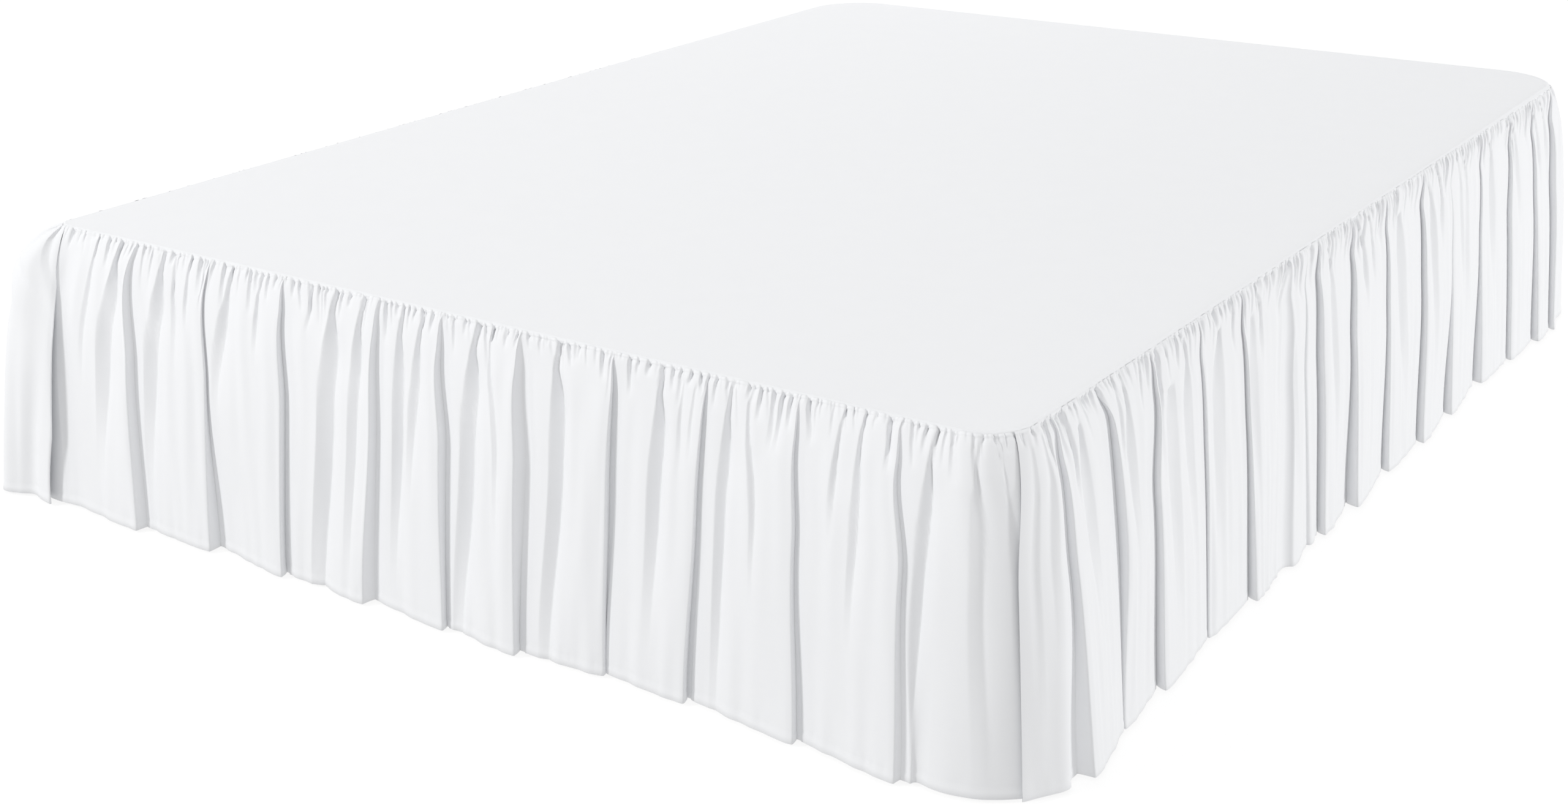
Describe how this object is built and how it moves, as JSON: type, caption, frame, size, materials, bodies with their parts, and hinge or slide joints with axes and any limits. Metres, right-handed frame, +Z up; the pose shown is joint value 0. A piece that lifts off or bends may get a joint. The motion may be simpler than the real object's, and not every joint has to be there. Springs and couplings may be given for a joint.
{
  "type": "bed skirt on a bed base",
  "caption": "Gathered bed skirt: a flat deck panel and knife-folded ruffles at foot and sides, hanging to the floor over a plain bed base, open at the head.",
  "frame": {"origin": "on the floor, in the middle of the part's footprint", "axes": "+Z up; +Y along the bed, from the foot to the open head; +X across the bed, to the right side seen from the foot"},
  "size_m": [1.7247, 2.1694, 0.406],
  "materials": {
    "white_cotton": "matte plain weave",
    "base_ticking": "matte ticking",
    "leg_wood": "satin dark stain"
  },
  "bodies": {
    "root": {"deck": "white_cotton", "ruffle_foot": "white_cotton", "ruffle_right": "white_cotton", "ruffle_left": "white_cotton", "bed_base": "base_ticking", "leg_1": "leg_wood", "leg_2": "leg_wood", "leg_3": "leg_wood", "leg_4": "leg_wood", "leg_5": "leg_wood", "leg_6": "leg_wood"}
  },
  "joints": []
}
